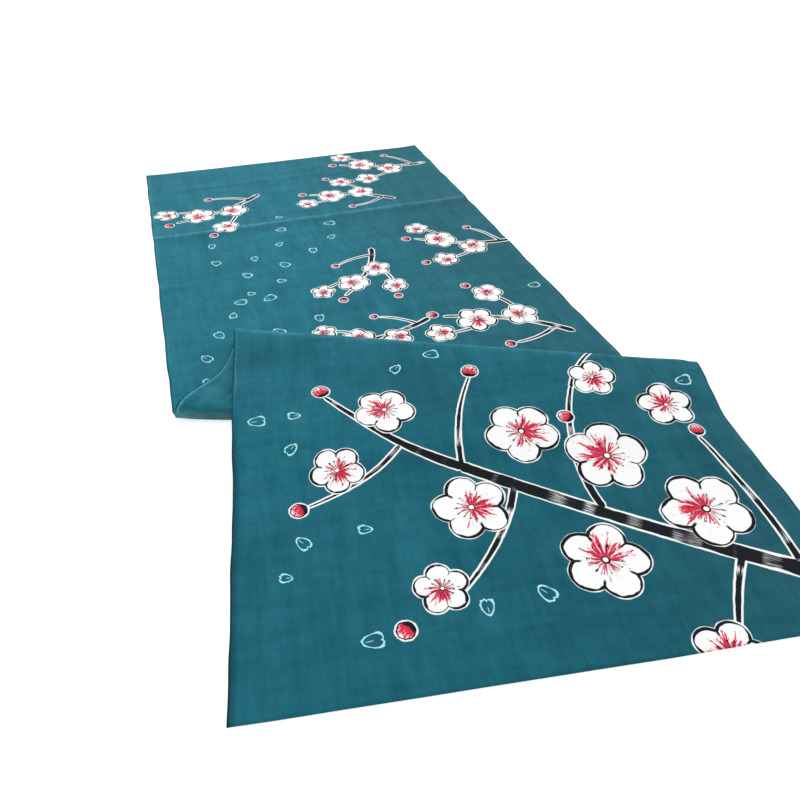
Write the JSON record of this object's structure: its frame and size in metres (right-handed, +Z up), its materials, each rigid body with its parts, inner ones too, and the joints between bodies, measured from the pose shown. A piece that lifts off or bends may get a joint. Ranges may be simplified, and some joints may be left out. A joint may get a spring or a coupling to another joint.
{
  "type": "tenugui towel",
  "caption": "Thin plain-woven cotton hand towel with two selvages and two raw ends, lying folded back and forth on a table.",
  "frame": {"origin": "middle of the footprint, on the table", "axes": "+Z up from the table, -Y towards the viewer, so the far panel runs off along +Y"},
  "size_m": [0.5576, 0.7636, 0.0176],
  "materials": {
    "dyed_cotton": "matte plain-woven cotton, dyed blue-green"
  },
  "bodies": {
    "root": {"cloth": "dyed_cotton"}
  },
  "joints": []
}
